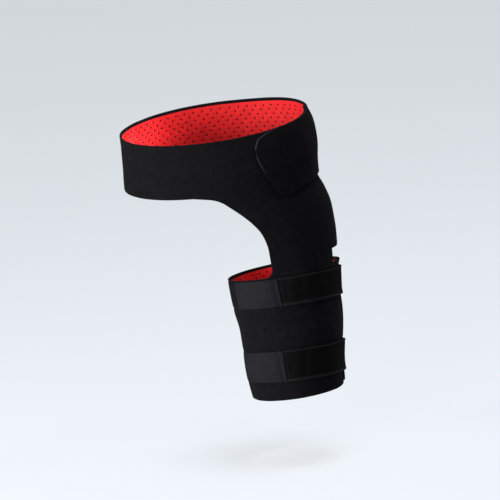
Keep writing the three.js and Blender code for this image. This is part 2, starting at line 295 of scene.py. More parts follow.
def off_body(angle, drop, lift):
    """A point raised off the body, square to it. Above the belt's free foot and below the thigh's
    top the slope is taken on the panel's own side, because the body's form bends there."""
    reach = 0.002
    free = (angle < hip_front) & (drop <= belt_height)
    lower = np.where(free, np.minimum(drop + reach, belt_height), drop + reach)
    upper = np.where(drop >= thigh_drop, np.maximum(drop - reach, thigh_drop), drop - reach)
    upper = np.where(np.abs(drop - thigh_drop) < seam_reach, drop - seam_reach, upper)
    down = on_body(angle, lower) - on_body(angle, upper)
    around = on_body(angle + 1, drop) - on_body(angle - 1, drop)
    normal = np.cross(down, around)
    normal /= np.linalg.norm(normal, axis=-1, keepdims=True)
    return on_body(angle, drop) + normal * (lift + softness(angle, drop))[..., None]


# The cloth laid flat: how far along the body each angle is from the front, at each drop
flat_angles = np.arange(-430.0, 61.0)
flat_drops = np.linspace(0, thigh_drop + thigh_height, 103)
flat_rings = on_body(flat_angles[None, :], flat_drops[:, None])
flat_steps = np.linalg.norm(np.diff(flat_rings, axis=1), axis=-1)
flat_lengths = np.concatenate([np.zeros((len(flat_drops), 1)), np.cumsum(flat_steps, axis=1)], axis=1)
flat_lengths -= flat_lengths[:, [int(-90 - flat_angles[0])]]


def laid_flat(angle, drop):
    """Where a point of the cloth is when the cloth is laid flat, in metres."""
    column = np.clip(angle - flat_angles[0], 0, len(flat_angles) - 1.001)
    row = np.clip(drop / flat_drops[1], 0, len(flat_drops) - 1.001)
    left, high = column.astype(int), row.astype(int)
    on, down = column - left, row - high
    upper = mix(flat_lengths[high, left], flat_lengths[high, left + 1], on)
    lower = mix(flat_lengths[high + 1, left], flat_lengths[high + 1, left + 1], on)
    return np.stack([mix(upper, lower, down), -drop], axis=-1)


def degrees_per_metre(angle, drop):
    """How many degrees one metre along the body is, at one place."""
    span = on_body(np.array(angle + 1.0), np.array(drop)) - on_body(np.array(angle - 1.0), np.array(drop))
    return 2 / float(np.linalg.norm(span))


def distance_to(edges, places):
    """How far each flat place is from the nearest of some flat edges."""
    nearest = np.full(places.shape[:-1], np.inf)
    for edge in edges:
        for start, end in zip(edge[:-1], edge[1:]):
            way = end - start
            length = max(float(way @ way), 1e-12)
            share = np.clip(((places - start) @ way) / length, 0, 1)
            gap = places - start - share[..., None] * way
            nearest = np.minimum(nearest, (gap**2).sum(-1))
    return np.sqrt(nearest)


def edge_of(angles, drops):
    return laid_flat(np.asarray(angles, float), np.asarray(drops, float))


# Distances from a free edge at which its rounding, its border and its stitches need points
near_steps = [
    0.00015, 0.0004, 0.0008, 0.0013, 0.0022, 0.0034, 0.0046, 0.0051, 0.0054, 0.0058, 0.0062, 0.0067,
    0.0073, 0.0084,
]


def grid_edges(angles, drops, *parts):
    """The flat edges that some parts of a grid make."""
    return [edge_of(angles[part], drops[part]) for part in parts]


def fine_steps(length, last=True, pace=0.0026):
    """Shares from 0 to 1 of a length, closer together near its start, and near its end if free."""
    start = [0] + near_steps
    end = [length - step for step in reversed(near_steps)] if last else []
    count = max(1, round(((end or [length])[0] - start[-1]) / pace))
    between = list(np.linspace(start[-1], (end or [length])[0], count + 1))[1:-1]
    return np.array(start + between + end + [length]) / length


def grid_faces(kept):
    """The faces of a grid's kept cells, with rows going down and columns going round."""
    rows, columns = kept.shape
    number = np.arange((rows + 1) * (columns + 1)).reshape(rows + 1, columns + 1)
    corners = [number[1:, :-1], number[1:, 1:], number[:-1, 1:], number[:-1, :-1]]
    return np.stack(corners, axis=-1)[kept].tolist()


def closed_sheet(name, outer, inner, faces, places, crisp=False):
    """A closed mesh from a sheet's outer and inner points, walled at its edges, with its flat
    places as its UV map."""
    outer = outer.reshape(-1, 3)
    inner = inner.reshape(-1, 3)
    places = places.reshape(-1, 2)
    used = np.unique(np.concatenate([np.array(face) for face in faces]))
    number = np.full(len(outer), -1)
    number[used] = np.arange(len(used))
    faces = [[int(number[corner]) for corner in face] for face in faces]
    sides = [(face[k - 1], face[k]) for face in faces for k in range(len(face))]
    there = set(sides)
    free = [side for side in sides if (side[1], side[0]) not in there]
    count = len(used)
    under = [[corner + count for corner in reversed(face)] for face in faces]
    walls = [[end, start, start + count, end + count] for start, end in free]
    mesh = bpy.data.meshes.new(name)
    mesh.from_pydata(np.concatenate([outer[used], inner[used]]).tolist(), [], faces + under + walls)
    corners = np.empty(len(mesh.loops), int)
    mesh.loops.foreach_get("vertex_index", corners)
    flat = mesh.uv_layers.new(name="laid flat")
    flat.data.foreach_set("uv", places[used][corners % count].astype(np.float32).ravel())
    mesh.polygons.foreach_set("use_smooth", np.ones(len(mesh.polygons), bool))
    if crisp:
        edge_of = {tuple(sorted(edge.vertices)): edge.index for edge in mesh.edges}
        sharp = np.zeros(len(mesh.edges), bool)
        for start, end in free:
            sharp[edge_of[tuple(sorted((start, end)))]] = True
            sharp[edge_of[tuple(sorted((start + count, end + count)))]] = True
        mesh.attributes.new("sharp_edge", "BOOLEAN", "EDGE").data.foreach_set("value", sharp)
    made = bpy.data.objects.new(name, mesh)
    scene.collection.objects.link(made)
    return made


def grid_sheet(name, outer, inner, angle, drop, kept=None):
    """A closed sheet over a grid of angles and drops, or over its kept cells."""
    if kept is None:
        kept = np.ones((angle.shape[0] - 1, angle.shape[1] - 1), bool)
    return closed_sheet(name, outer, inner, grid_faces(kept), laid_flat(angle, drop))


def shell_faces(angle, drop, lift, free_edges):
    """The outer and inner points of a padded cloth. Its free edges are rounded and turned in over
    the lining, and a line of stitches is pulled in beside them."""
    distance = distance_to(free_edges, laid_flat(angle, drop))
    rounding = round_off(distance, edge_radius)
    groove = groove_depth * bell(distance - stitch_inset, groove_width)
    within = ease(distance, binding_width, binding_width + binding_step)
    inside = mix(sheet_thickness, shell_thickness, within)
    return off_body(angle, drop, lift - rounding - groove), off_body(angle, drop, lift - inside + rounding)


def maths(tree, operation, *values):
    """The result of one sum on values or other nodes' outputs."""
    return add_node(tree, "ShaderNodeMath", {"operation": operation}, dict(enumerate(values))).outputs[0]


def vectors(tree, operation, *values):
    """The result of one sum on vectors."""
    inputs = dict(enumerate(values))
    return add_node(tree, "ShaderNodeVectorMath", {"operation": operation}, inputs).outputs[0]


def texture(tree, kind, place, scale, settings=(), **inputs):
    """The outputs of one kind of texture at a place, with its pattern at a scale."""
    inputs.update(Vector=place, Scale=scale)
    return add_node(tree, "ShaderNodeTex" + kind, settings, inputs).outputs


def use_group(tree, group, **inputs):
    """The outputs of a node group used in a tree."""
    return add_node(tree, "ShaderNodeGroup", {"node_tree": group}, inputs).outputs


def new_group(name, kind, inputs, outputs):
    """An empty node group with its inputs, which may have a value, and its outputs."""
    tree = bpy.data.node_groups.new(name, kind)
    for direction, sockets in (("INPUT", inputs), ("OUTPUT", outputs)):
        for socket, made_for, *values in sockets:
            made = tree.interface.new_socket(
                name=socket, in_out=direction, socket_type="NodeSocket" + made_for
            )
            for value in values:
                made.default_value = value
    return tree, tree.nodes.new("NodeGroupInput").outputs, tree.nodes.new("NodeGroupOutput").inputs


# The brushed face: short matted fibres, in clumps that take the light unevenly
pile, given, result = new_group(
    "brushed pile", "ShaderNodeTree",
    [("Place", "Vector"), ("Fibre", "Float", 0.0007), ("Patch", "Float", 0.012)],
    [("Height", "Float"), ("Shade", "Float")],
)
fibre_scale = maths(pile, "DIVIDE", 1.0, given["Fibre"])
patch_scale = maths(pile, "DIVIDE", 1.0, given["Patch"])
fibres = texture(pile, "Noise", given["Place"], fibre_scale, Detail=3.0, Distortion=1.2)[0]
patches = texture(pile, "Noise", given["Place"], patch_scale, Detail=4.0)[0]
shades = [maths(pile, "MULTIPLY", value, part) for value, part in ((fibres, 0.65), (patches, 0.35))]
pile.links.new(fibres, result["Height"])
pile.links.new(maths(pile, "ADD", *shades), result["Shade"])

# Lint: a few short pale fibres that the loop face holds
lint_width = 0.072
lint, given, result = new_group(
    "lint", "ShaderNodeTree",
    [("Place", "Vector"), ("Spacing", "Float", 0.009), ("Share", "Float", 0.3)],
    [("Mask", "Float")],
)
bent = texture(lint, "Noise", given["Place"], 90.0, Detail=1.0)["Color"]
moved = vectors(lint, "MULTIPLY_ADD", bent, (0.006, 0.006, 0.006), given["Place"])
cells = texture(lint, "Voronoi", moved, maths(lint, "DIVIDE", 1.0, given["Spacing"]))
near = maths(lint, "LESS_THAN", cells["Distance"], lint_width)
parts = add_node(lint, "ShaderNodeSeparateColor", (), {"Color": cells["Color"]})
chosen = maths(lint, "LESS_THAN", parts.outputs[0], given["Share"])
lint.links.new(maths(lint, "MULTIPLY", near, chosen), result["Mask"])


def new_finish(name):
    """A material, its tree, its shader and where its surface is in the brace's own space."""
    made, tree, shader = new_material(name)
    return made, tree, shader, tree.nodes.new("ShaderNodeTexCoord").outputs["Object"]


def blend(tree, share, one, other):
    """A colour between two colours."""
    made = tree.nodes.new("ShaderNodeMix")
    made.data_type = "RGBA"
    for name, value in (("Factor", share), ("A", one), ("B", other)):
        socket = [s for s in made.inputs if s.name == name and (name == "Factor") != (s.type == "RGBA")][0]
        put(tree, socket, value)
    return [s for s in made.outputs if s.type == "RGBA"][0]


def ramp(tree, value, low, high, to_low=0.0, to_high=1.0):
    """A value stretched from one range to another."""
    made = add_node(tree, "ShaderNodeMapRange", (), {
        "Value": value, "From Min": low, "From Max": high, "To Min": to_low, "To Max": to_high,
    })
    return made.outputs[0]


def raised(tree, height, distance, strength=1.0):
    """The normal of a surface with a height on it."""
    made = add_node(tree, "ShaderNodeBump", (), {
        "Height": height, "Distance": distance, "Strength": strength,
    })
    return made.outputs[0]


def with_lint(tree, place, dyed, pale, strength, share, spacing=0.009):
    """A dyed colour with pale lint on it."""
    specks = use_group(tree, lint, Place=place, Share=share, Spacing=spacing)
    return blend(tree, maths(tree, "MULTIPLY", specks["Mask"], strength), dyed, pale)


loop_cloth, tree, shader, place = new_finish("brushed loop cloth")
face = use_group(tree, pile, Place=place, Fibre=0.0008)
dyed = blend(tree, ramp(tree, face["Shade"], 0.35, 0.65),
             (0.0032, 0.003, 0.0038, 1), (0.0076, 0.0072, 0.009, 1))
set_shader(
    tree, shader,
    Base_Color=with_lint(
        tree, place, dyed, (0.075, 0.073, 0.078, 1), strength=0.6, share=0.3, spacing=0.0075
    ),
    Roughness=ramp(tree, face["Shade"], 0.3, 0.7, 0.97, 0.84),
    Sheen_Weight=0.02,
    Sheen_Roughness=0.4,
    Specular_IOR_Level=0.06,
    Normal=raised(tree, face["Height"], 0.0006, 0.7),
)

thread, tree, shader, place = new_finish("black thread")
bands = {"wave_type": "BANDS", "bands_direction": "DIAGONAL"}
twist = texture(tree, "Wave", place, 900.0, bands)["Fac"]
set_shader(
    tree, shader,
    Base_Color=blend(tree, twist, (0.0025, 0.0025, 0.003, 1), (0.007, 0.007, 0.008, 1)),
    Roughness=0.8,
    Specular_IOR_Level=0.15,
    Normal=raised(tree, twist, 0.0001, 0.5),
)

# A line of stitches: one short plump stitch at each step along a path
stitching, given, result = new_group(
    "stitching", "GeometryNodeTree",
    [("Path", "Geometry"), ("Pitch", "Float"), ("Stitch", "Float"), ("Thickness", "Float"),
     ("Thread", "Material")],
    [("Stitches", "Geometry")],
)
line = add_node(stitching, "GeometryNodeMeshToCurve", (), {"Mesh": given["Path"]})
dots = add_node(stitching, "GeometryNodeResampleCurve", {"mode": "LENGTH"}, {
    "Curve": line.outputs[0], "Length": given["Pitch"],
})
bead = add_node(stitching, "GeometryNodeMeshUVSphere", (), {"Segments": 6, "Rings": 4, "Radius": 0.5})
size = add_node(stitching, "ShaderNodeCombineXYZ", (), {
    "X": given["Stitch"], "Y": given["Thickness"], "Z": given["Thickness"],
})
turned = add_node(stitching, "FunctionNodeAlignRotationToVector", {"axis": "X"}, {
    "Vector": add_node(stitching, "GeometryNodeInputTangent").outputs[0],
})
copies = add_node(stitching, "GeometryNodeInstanceOnPoints", (), {
    "Points": dots.outputs[0], "Instance": bead.outputs[0], "Rotation": turned.outputs[0],
    "Scale": size.outputs[0],
})
whole = add_node(stitching, "GeometryNodeRealizeInstances", (), {"Geometry": copies.outputs[0]})
smooth = add_node(stitching, "GeometryNodeSetShadeSmooth", (), {"Geometry": whole.outputs[0]})
dressed = add_node(stitching, "GeometryNodeSetMaterial", (), {
    "Geometry": smooth.outputs[0], "Material": given["Thread"],
})
stitching.links.new(dressed.outputs[0], result[0])


def dress(piece, tree, **values):
    """Runs a Geometry Nodes tree on a piece with its named inputs, and keeps the plain mesh."""
    step = piece.modifiers.new(tree.name, "NODES")
    step.node_group = tree
    for socket in tree.interface.items_tree:
        if socket.in_out == "INPUT" and socket.name in values:
            step[socket.identifier] = values[socket.name]
    settled = bpy.data.meshes.new_from_object(
        piece.evaluated_get(bpy.context.evaluated_depsgraph_get())
    )
    piece.modifiers.clear()
    piece.data = settled


def sew(name, lines, pitch=0.0034, stitch=0.0026, thickness=0.0005):
    """One piece holding the stitches along some lines of points."""
    points = np.concatenate(lines)
    starts = np.cumsum([0] + [len(line) for line in lines])
    edges = [
        (int(k), int(k + 1)) for first, last in zip(starts, starts[1:]) for k in range(first, last - 1)
    ]
    mesh = bpy.data.meshes.new(name)
    mesh.from_pydata(points.tolist(), edges, [])
    made = bpy.data.objects.new(name, mesh)
    scene.collection.objects.link(made)
    dress(made, stitching, Pitch=pitch, Stitch=stitch, Thickness=thickness, Thread=thread)
    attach(made, "root")
    return made


def stitch_line(angles, drops, lift=None, distance=stitch_inset):
    """The points of a line of stitches beside an edge, on its left when the cloth lies flat."""
    way = np.gradient(edge_of(angles, drops), axis=0)
    way /= np.linalg.norm(way, axis=-1, keepdims=True)
    turn = np.array([degrees_per_metre(a, d) for a, d in zip(angles, drops)])
    angles, drops = angles - way[:, 1] * distance * turn, drops - way[:, 0] * distance
    raise_by = lift(angles) if lift else np.zeros(angles.shape)
    return off_body(angles, drops, raise_by - groove_depth * thread_sink)


def settle(piece, node, slot, *materials):
    """Gives a piece its materials, and says which node it stands for by hiding that node's part. Its slot is
    not used.
    """
    for material in materials:
        piece.data.materials.append(material)
    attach(piece, "root")
    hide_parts(node)


# The waist belt: a padded stretch cloth with a brushed loop face, cut in one length. It starts under
# its own end on the braced side, and goes round the front, the other side and the back. A small
# fold stands up in the lower edge of its lapped end.
def belt_lift(angle):
    return lap_lift * ease(-angle, -belt_lap[0], -belt_lap[1])


def flap_edge(angle, side):
    """The top or the bottom of the belt's free end, as a share of the belt's height there."""
    return read([(row[0] * flap_nose, row[side]) for row in flap_outline], angle - flap_tip)


def belt_top(angle):
    begin, up, down, end = rim_rise_turns
    risen = rim_rise * ease(angle, begin, up) * (1 - ease(angle, down, end))
    return belt_height * flap_edge(angle, 1) - risen


def belt_bottom(angle):
    return mix(belt_height, belt_lap_height, ease(-angle, *belt_widening)) * flap_edge(angle, 2)


belt_ends = laid_flat(np.array([belt_start, flap_tip]), np.array([0.0, 0.0]))
belt_length = float(belt_ends[0, 0] - belt_ends[1, 0])
belt_turns = mix(flap_tip, belt_start, fine_steps(belt_length))
fine_nose = (3.4, 25)
cut_nose = 15
nose_turns = np.linspace(flap_tip + fine_nose[0], flap_tip + fine_nose[1], 40)
belt_turns = np.unique(np.concatenate([belt_turns, nose_turns]).round(4))
nose_columns = int(np.searchsorted(belt_turns, flap_tip + cut_nose))
belt_shares = fine_steps(belt_height)
belt_angle, belt_share = np.meshgrid(belt_turns, belt_shares)
belt_drop = mix(belt_top(belt_angle), belt_bottom(belt_angle), belt_share)
belt_free_turns = belt_turns[belt_turns <= hip_front]
belt_edges = [
    edge_of(belt_turns, belt_top(belt_turns)),
    edge_of(belt_free_turns, belt_bottom(belt_free_turns)),
    *grid_edges(belt_angle, belt_drop, np.s_[:, 0], np.s_[:, -1]),
]
fold_place = (-394, 0.113)
fold_reach = (3.2, 0.0045)
fold_rise = 0.0016
fold_across = (belt_angle - fold_place[0]) / fold_reach[0]
fold_down = (belt_drop - fold_place[1]) / fold_reach[1]
folded_lift = belt_lift(belt_angle) + fold_rise * np.exp(-(fold_across**2) - fold_down**2)
belt_outer, belt_inner = shell_faces(belt_angle, belt_drop, folded_lift, belt_edges)
belt = grid_sheet("waist_belt_shell", belt_outer, belt_inner, belt_angle, belt_drop)

# The flap's cut edge: paler where the cloth's core shows a little, with painted highlight where the edge
# catches the light, and painted shade down its lower part
cut_edge_painted_light, tree, shader, place = new_finish("cut cloth edge with painted light")
face = use_group(tree, pile, Place=place, Fibre=0.0005)
# Painted shade low on the cut edge: the colour darkens from the pale core and its painted highlight towards
# the edge's lower end
level = add_node(tree, "ShaderNodeSeparateXYZ", (), {"Vector": place}).outputs["Z"]
pale = blend(tree, face["Shade"], (0.0135, 0.0127, 0.015, 1), (0.037, 0.035, 0.0405, 1))
set_shader(
    tree, shader,
    Base_Color=blend(tree, ramp(tree, level, -0.034, -0.012), (0.0012, 0.0012, 0.0014, 1), pale),
    Roughness=0.85,
    Specular_IOR_Level=0.1,
    Normal=raised(tree, face["Height"], 0.0004, 0.6),
)
settle(belt, "waist_belt", "loop_cloth", loop_cloth, cut_edge_painted_light)
# The faces along the flap's nose take the cut edge's painted highlight and painted shade
slots = np.zeros(len(belt.data.polygons), int)
nose_turns = belt_turns[:nose_columns]
flat_nose = [edge_of(nose_turns, side(nose_turns)) for side in (belt_top, belt_bottom)]
flat_middles = np.array([
    np.mean([belt.data.uv_layers[0].data[corner].uv for corner in face.loop_indices], axis=0)
    for face in belt.data.polygons
])
close_by = flat_middles[:, 0] < flat_nose[0][-1, 0]
slots[close_by] = distance_to(flat_nose, flat_middles[close_by]) < cut_edge_width
belt.data.polygons.foreach_set("material_index", slots)

round_nose = np.linspace(flap_tip + 0.4, flap_tip + 13.8, 80)
rim_turns = np.concatenate([np.linspace(belt_start - 3, flap_tip + 14, 260), round_nose[::-1]])
foot_turns = np.concatenate([round_nose, np.linspace(flap_tip + 14, hip_front - 3, 240)])
belt_stitches = sew(
    "waist_belt_stitches",
    [
        stitch_line(rim_turns, belt_top(rim_turns), belt_lift),
        stitch_line(foot_turns, belt_bottom(foot_turns), belt_lift),
    ],
)

# The hip panel: the same padded cloth, running from the belt down the braced hip. Its front edge
# curves round the groin, and a slit frees its back corner from the thigh wrap.
slit_height = 0.025
slit_end = -23
hip_corner = 0.012
hip_reach_ahead = 0.16
hip_reach_behind = 0.11
hip_back_foot = 8
hip_front_rows = [
    (0, -107), (0.03, -97.5), (0.065, -93), (0.13, -90), (0.235, -87.7), (0.36, -86), (0.5, -85.5),
    (0.66, -87.8), (0.76, -90.8), (0.86, -94.3), (0.93, -97), (0.97, -100), (1, -105.5),
]
hip_foot_front = hip_front_rows[-1][1]
slit_drop = thigh_drop - slit_height

hip_upper = mix(belt_height, slit_drop, fine_steps(hip_height - slit_height))
hip_lower = np.linspace(slit_drop, thigh_drop, 22)[1:]
hip_drops = np.concatenate([hip_upper, hip_lower])
hip_left = fine_steps(hip_reach_ahead, last=False)
hip_right = fine_steps(hip_reach_behind)[1:]
hip_drop = np.repeat(hip_drops[:, None], len(hip_left) + len(hip_right), axis=1)
hip_share = (hip_drop - belt_height) / hip_height
hip_front_turn = read(hip_front_rows, hip_share[:, :1])
hip_back_turn = mix(belt_start, hip_back_foot, hip_share[:, :1])
hip_angle = np.concatenate(
    [mix(hip_front_turn, slit_end, hip_left[None, :]), mix(slit_end, hip_back_turn, hip_right[None, :])],
    axis=1,
)


def corner_rise(angle, drop, back_turn):
    """How far the panel's back corner is rounded off above the slit."""
    share = (angle - slit_end / 2) / (back_turn - slit_end / 2)
    return hip_corner * ease(share, 0, 1) ** 3 * ease(drop, slit_drop - 3 * hip_corner, slit_drop)


hip_rise = corner_rise(hip_angle, hip_drop, hip_back_turn)
hip_drop = np.where(hip_drop <= slit_drop, hip_drop - hip_rise, hip_drop)
slit_row = len(hip_upper) - 1
slit_column = len(hip_left) - 1
hip_kept = np.ones((hip_angle.shape[0] - 1, hip_angle.shape[1] - 1), bool)
hip_kept[slit_row:, slit_column:] = False
hip_free = grid_edges(
    hip_angle, hip_drop,
    np.s_[:, 0], np.s_[: slit_row + 1, -1], np.s_[slit_row, slit_column:], np.s_[slit_row:, slit_column],
)
hip_outer, hip_inner = shell_faces(hip_angle, hip_drop, np.zeros_like(hip_angle), hip_free)
hip = grid_sheet("hip_panel_shell", hip_outer, hip_inner, hip_angle, hip_drop, hip_kept)
settle(hip, "hip_panel", "loop_cloth", loop_cloth)
seam_room = 0.004
groin_drops = np.linspace(belt_height + seam_room, thigh_drop - seam_room, 150)
groin_turns = read(hip_front_rows, (groin_drops - belt_height) / hip_height)
slit_turns = hip_angle[slit_row, slit_column:][::-1]
slit_drops = hip_drop[slit_row, slit_column:][::-1]
off_corners = slice(18, -4)
hip_stitches = sew(
    "hip_panel_stitches",
    [
        stitch_line(groin_turns, groin_drops),
        stitch_line(slit_turns[off_corners], slit_drops[off_corners], distance=-stitch_inset),
    ],
)

# The thigh wrap: the same padded cloth round the thigh. Its free edge laps over its start just
# behind the braced side, and the upper corner of that edge curls outwards.
wrap_start = 38
wrap_edge = -351
wrap_lap = (-252, -316)
wrap_corner = 0.009
curl_rise = 0.003
curl_turn = 24
thigh_foot = thigh_drop + thigh_height
upper_strap_place = (0.15, 0.052)
lower_strap_place = (0.75, 0.057)
strap_droop = 0.0045
strap_clearance = 0.003


def strap_line(down_share, angle):
    """The drop of a strap's middle: a little lower at the braced side and the back."""
    turn = np.radians(angle)
    return thigh_drop + down_share * thigh_height + strap_droop * (np.cos(turn) + np.sin(turn))


curl_foot = strap_line(upper_strap_place[0], wrap_edge) - upper_strap_place[1] / 2 - strap_clearance


def thigh_lift(angle):
    """How far the wrap's lapped end is raised."""
    return lap_lift * ease(-angle, -wrap_lap[0], -wrap_lap[1])


def wrap_lift(angle, drop):
    """The lapped end with the curl of its upper corner."""
    near_edge = ease(-angle, -wrap_edge - curl_turn, -wrap_edge)
    return thigh_lift(angle) + curl_rise * near_edge * (1 - ease(drop, thigh_drop, curl_foot))


wrap_pace = degrees_per_metre(wrap_edge, thigh_drop + thigh_height / 2)


def wrap_cut(angle):
    """How far the wrap's rounded corners cut into its top and its foot."""
    from_edge = round_off((angle - wrap_edge) / wrap_pace, wrap_corner)
    return from_edge + round_off((wrap_start - angle) / wrap_pace, wrap_corner)


def wrap_top(angle):
    joined = (angle > hip_foot_front) & (angle < slit_end)
    return thigh_drop + np.where(joined, 0, wrap_cut(angle))


def wrap_bottom(angle):
    return thigh_foot - wrap_cut(angle)


wrap_length = (wrap_start - wrap_edge) / wrap_pace
wrap_turns = mix(wrap_edge, wrap_start, fine_steps(wrap_length))
wrap_turns = np.unique(np.concatenate([wrap_turns, [hip_foot_front, slit_end]]))
wrap_angle, wrap_share = np.meshgrid(wrap_turns, fine_steps(thigh_height))
wrap_drop = mix(wrap_top(wrap_angle), wrap_bottom(wrap_angle), wrap_share)
before_join = wrap_turns[wrap_turns <= hip_foot_front]
after_join = wrap_turns[wrap_turns >= slit_end]
wrap_free = [
    edge_of(before_join, wrap_top(before_join)),
    edge_of(after_join, wrap_top(after_join)),
    edge_of(wrap_turns, wrap_bottom(wrap_turns)),
    *grid_edges(wrap_angle, wrap_drop, np.s_[:, 0], np.s_[:, -1]),
]

# A short crease in the wrap, and the dents where the straps squeeze it
crease_line = edge_of([-107.5, -105, -102], [0.338, 0.352, 0.373])
crease_depth = 0.0007
crease_width = 0.0026
from_crease = distance_to([crease_line], laid_flat(wrap_angle, wrap_drop))
creased_lift = wrap_lift(wrap_angle, wrap_drop) - crease_depth * bell(from_crease, crease_width)
squeeze_depth = 0.0009
squeeze_width = 0.0028
for share, width in (upper_strap_place, lower_strap_place):
    from_middle = np.abs(wrap_drop - strap_line(share, wrap_angle))
    creased_lift = creased_lift - squeeze_depth * bell(from_middle - width / 2, squeeze_width)
wrap_outer, wrap_inner = shell_faces(wrap_angle, wrap_drop, creased_lift, wrap_free)
wrap = grid_sheet("thigh_wrap_shell", wrap_outer, wrap_inner, wrap_angle, wrap_drop)
settle(wrap, "thigh_wrap", "loop_cloth", loop_cloth)
corner_turn = 5
foot_line = np.linspace(wrap_edge + corner_turn, wrap_start - corner_turn, 260)
rim_line = np.linspace(hip_foot_front - 4, wrap_edge + corner_turn, 160)
wrap_stitches = sew(
    "thigh_wrap_stitches",
    [
        stitch_line(foot_line, wrap_bottom(foot_line), thigh_lift),
        stitch_line(rim_line, wrap_top(rim_line), thigh_lift),
    ],
)

# The linings: a smooth red knit, perforated in slanting rows, bonded inside each panel. The
# panels' turned-in edges cover the linings' borders.
lining_gap = 0.0003
lining_back = -shell_thickness - lining_gap
lining_front = -sheet_thickness
hole_pitch = 0.0104
hole_width = 0.0035
hole_depth = 0.0009
rolled_edge = 0.0003
roll_depth = 0.4

holes, given, result = new_group(
    "perforating", "GeometryNodeTree",
    [("Cloth", "Geometry"), ("Hole Width", "Float"), ("Rolled Edge", "Float"), ("Depth", "Float"),
     ("Knit", "Material"), ("Foam", "Material")],
    [("Perforated", "Geometry")],
)


def drawn_in(mesh, chosen, offset):
    """Each chosen face extruded by itself."""
    return add_node(holes, "GeometryNodeExtrudeMesh", {"mode": "FACES"}, {
        "Mesh": mesh, "Selection": chosen, "Offset Scale": offset, "Individual": True,
    }).outputs


spot = add_node(holes, "GeometryNodeInputPosition").outputs[0]
marked = add_node(
    holes, "GeometryNodeInputNamedAttribute", {"data_type": "BOOLEAN"}, {"Name": "pierced"}
).outputs["Attribute"]
centred = add_node(
    holes, "GeometryNodeCaptureAttribute", {"domain": "FACE"}, {"Geometry": given["Cloth"]}
)
centred.capture_items.new("VECTOR", "centre")
holes.links.new(spot, centred.inputs[1])
cut = drawn_in(centred.outputs[0], marked, 0.0)
half_width = maths(holes, "MULTIPLY", given["Hole Width"], 0.5)
radius = maths(holes, "ADD", half_width, given["Rolled Edge"])
outward = vectors(holes, "NORMALIZE", vectors(holes, "SUBTRACT", spot, centred.outputs[1]))
on_ring = vectors(holes, "MULTIPLY", outward, radius)
rounded = add_node(holes, "GeometryNodeSetPosition", (), {
    "Geometry": cut["Mesh"], "Selection": cut["Top"],
    "Position": vectors(holes, "ADD", centred.outputs[1], on_ring),
})
rolled = drawn_in(rounded.outputs[0], cut["Top"], maths(holes, "MULTIPLY", given["Rolled Edge"], -roll_depth))
narrowed = add_node(holes, "GeometryNodeScaleElements", (), {
    "Geometry": rolled["Mesh"], "Selection": rolled["Top"],
    "Scale": maths(holes, "DIVIDE", half_width, radius),
})
sunk = drawn_in(narrowed.outputs[0], rolled["Top"], maths(holes, "MULTIPLY", given["Depth"], -1.0))
coated = sunk["Mesh"]
for coat, chosen in (("Knit", True), ("Foam", sunk["Side"]), ("Foam", sunk["Top"])):
    coated = add_node(holes, "GeometryNodeSetMaterial", (), {
        "Geometry": coated, "Selection": chosen, "Material": given[coat],
    }).outputs[0]
holes.links.new(coated, result[0])

# Rows of yarn: bumps in rows along and across a cloth, each row shifted by half a bump
yarn, given, result = new_group(
    "yarn rows", "ShaderNodeTree",
    [("Place", "Vector"), ("Across", "Float", 0.001), ("Along", "Float", 0.001)],
    [("Height", "Float"), ("Shade", "Float")],
)


def wave(value):
    """A row of equal bumps, one for each step of a value."""
    return maths(yarn, "ABSOLUTE", maths(yarn, "SINE", maths(yarn, "MULTIPLY", value, math.pi)))


axes = add_node(yarn, "ShaderNodeSeparateXYZ", (), {"Vector": given["Place"]})
row = maths(yarn, "DIVIDE", axes.outputs["Y"], given["Along"])
column = maths(yarn, "DIVIDE", axes.outputs["X"], given["Across"])
shifted = maths(yarn, "ADD", column, maths(yarn, "MULTIPLY", maths(yarn, "FLOOR", row), 0.5))
height = maths(yarn, "MULTIPLY", wave(row), wave(shifted))
uneven = texture(yarn, "Noise", given["Place"], 60.0, Detail=3.0)[0]
shades = [maths(yarn, "MULTIPLY", value, 0.5) for value in (height, uneven)]
yarn.links.new(height, result["Height"])
yarn.links.new(maths(yarn, "ADD", *shades), result["Shade"])

red_knit, tree, shader, place = new_finish("red perforated knit")
loops = texture(tree, "Voronoi", place, 900.0, {"feature": "SMOOTH_F1"})["Distance"]
wear = texture(tree, "Noise", place, 45.0, Detail=4.0)[0]
set_shader(
    tree, shader,
    Base_Color=blend(tree, ramp(tree, wear, 0.35, 0.65),
                     (0.65, 0.013, 0.015, 1), (0.76, 0.0165, 0.0195, 1)),
    Roughness=ramp(tree, loops, 0.1, 0.6, 0.55, 0.72),
    Sheen_Weight=0.02,
    Specular_IOR_Level=0.15,
    Normal=raised(tree, loops, -0.00012, 0.5),
)
foam, tree, shader, place = new_finish("dark foam in the holes")
open_cells = texture(tree, "Voronoi", place, 2500.0)["Distance"]
set_shader(
    tree, shader,
    Base_Color=blend(tree, open_cells, (0.004, 0.0006, 0.0008, 1), (0.009, 0.001, 0.0013, 1)),
    Roughness=0.95,
    Normal=raised(tree, open_cells, 0.0002, 0.6),
)


